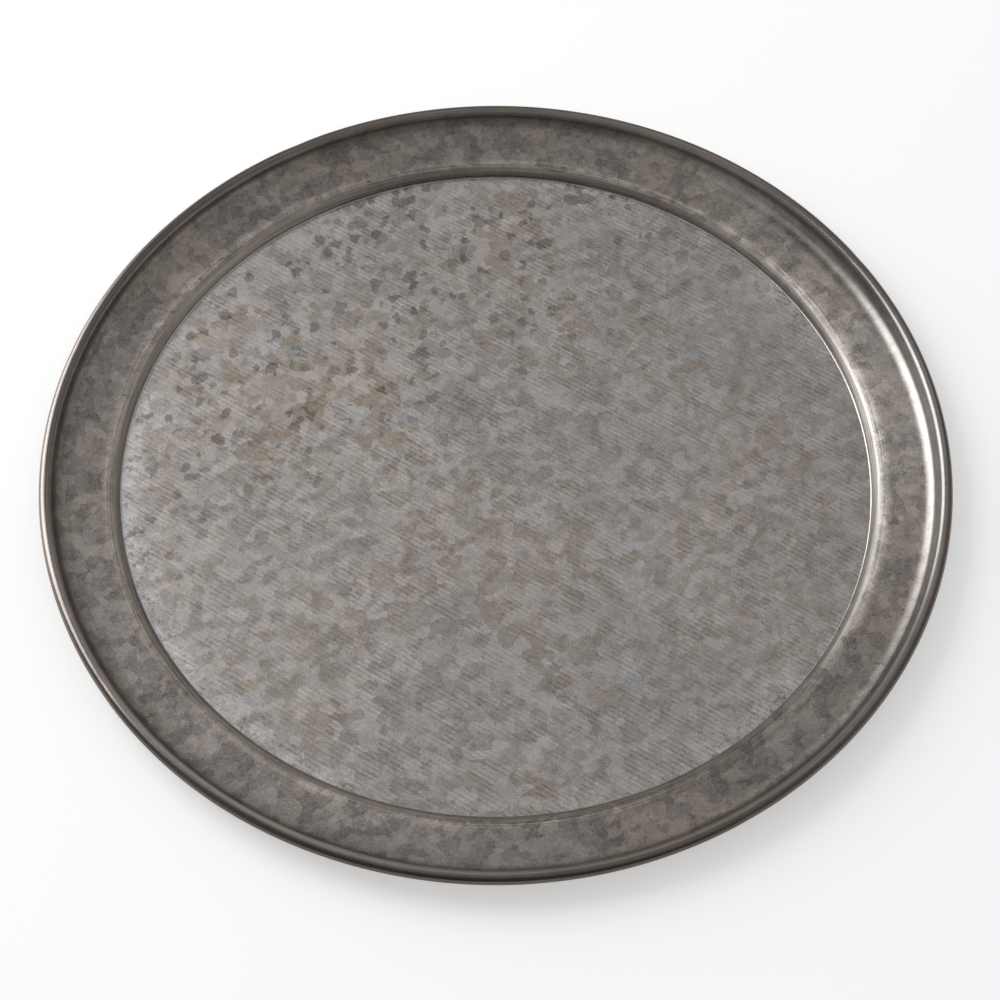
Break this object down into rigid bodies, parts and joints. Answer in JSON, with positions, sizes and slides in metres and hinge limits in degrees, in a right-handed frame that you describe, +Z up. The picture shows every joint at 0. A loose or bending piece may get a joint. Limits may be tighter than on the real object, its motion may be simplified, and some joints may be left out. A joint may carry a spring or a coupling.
{
  "type": "oil drain pan",
  "caption": "Round shallow galvanised steel drain pan: flat brushed floor seamed and soldered into a raised flange with a wired, rolled rim.",
  "frame": {"origin": "centre of the floor plate's underside, on the surface that the pan stands on", "axes": "+Z up along the pan's axis of symmetry, out of its open top; X and Y in the resting plane, and equal because the pan is round"},
  "size_m": [0.4059, 0.406, 0.0148],
  "materials": {
    "floor_steel": "galvanised, lightly brushed, matt spangle",
    "ring_steel": "galvanised with dark aged patina, satin",
    "wire_steel": "plain drawn wire",
    "solder": "bright solder, smooth"
  },
  "bodies": {
    "root": {"floor_plate": "floor_steel", "flange_ring": "ring_steel", "rim_wire": "wire_steel", "seam_solder": "solder"}
  },
  "joints": []
}
